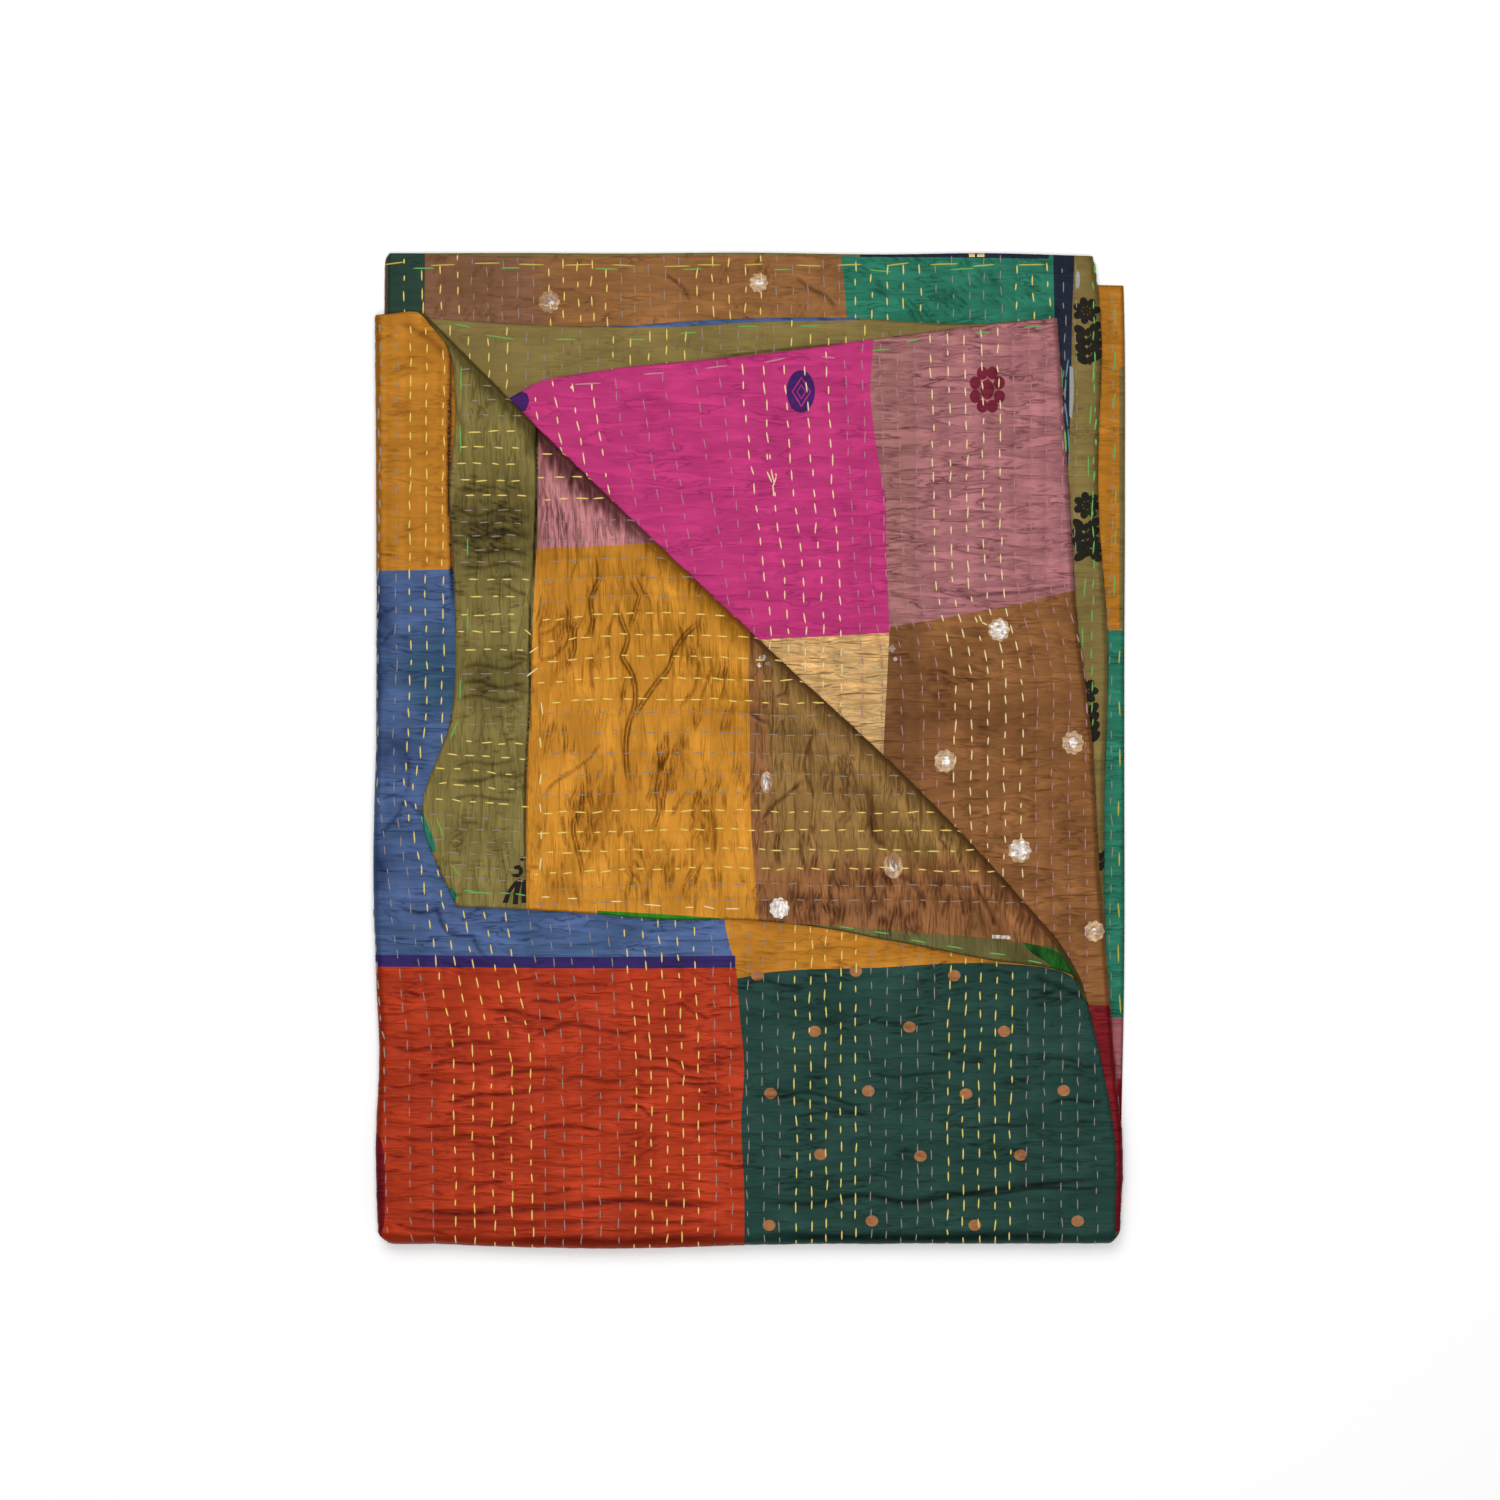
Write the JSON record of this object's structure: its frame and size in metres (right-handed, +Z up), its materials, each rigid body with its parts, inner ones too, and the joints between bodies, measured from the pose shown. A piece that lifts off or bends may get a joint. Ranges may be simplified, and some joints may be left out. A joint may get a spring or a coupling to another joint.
{
  "type": "folded kantha quilt",
  "caption": "Thin patchwork silk quilt with running stitches, folded flat in thirds and then in half, its top corner turned back to show the underside.",
  "frame": {"origin": "centre of the folded quilt's footprint, on the surface it lies on", "axes": "+X across the packet, towards the hemmed side; +Y along it, from the bottom fold towards the stepped hems; +Z up, with the turned-back corner on top"},
  "size_m": [0.5132, 0.6795, 0.0291],
  "materials": {
    "silk_patchwork": "soft lustrous silk, wrinkled along its running stitches"
  },
  "bodies": {
    "root": {"quilt": "silk_patchwork"}
  },
  "joints": []
}
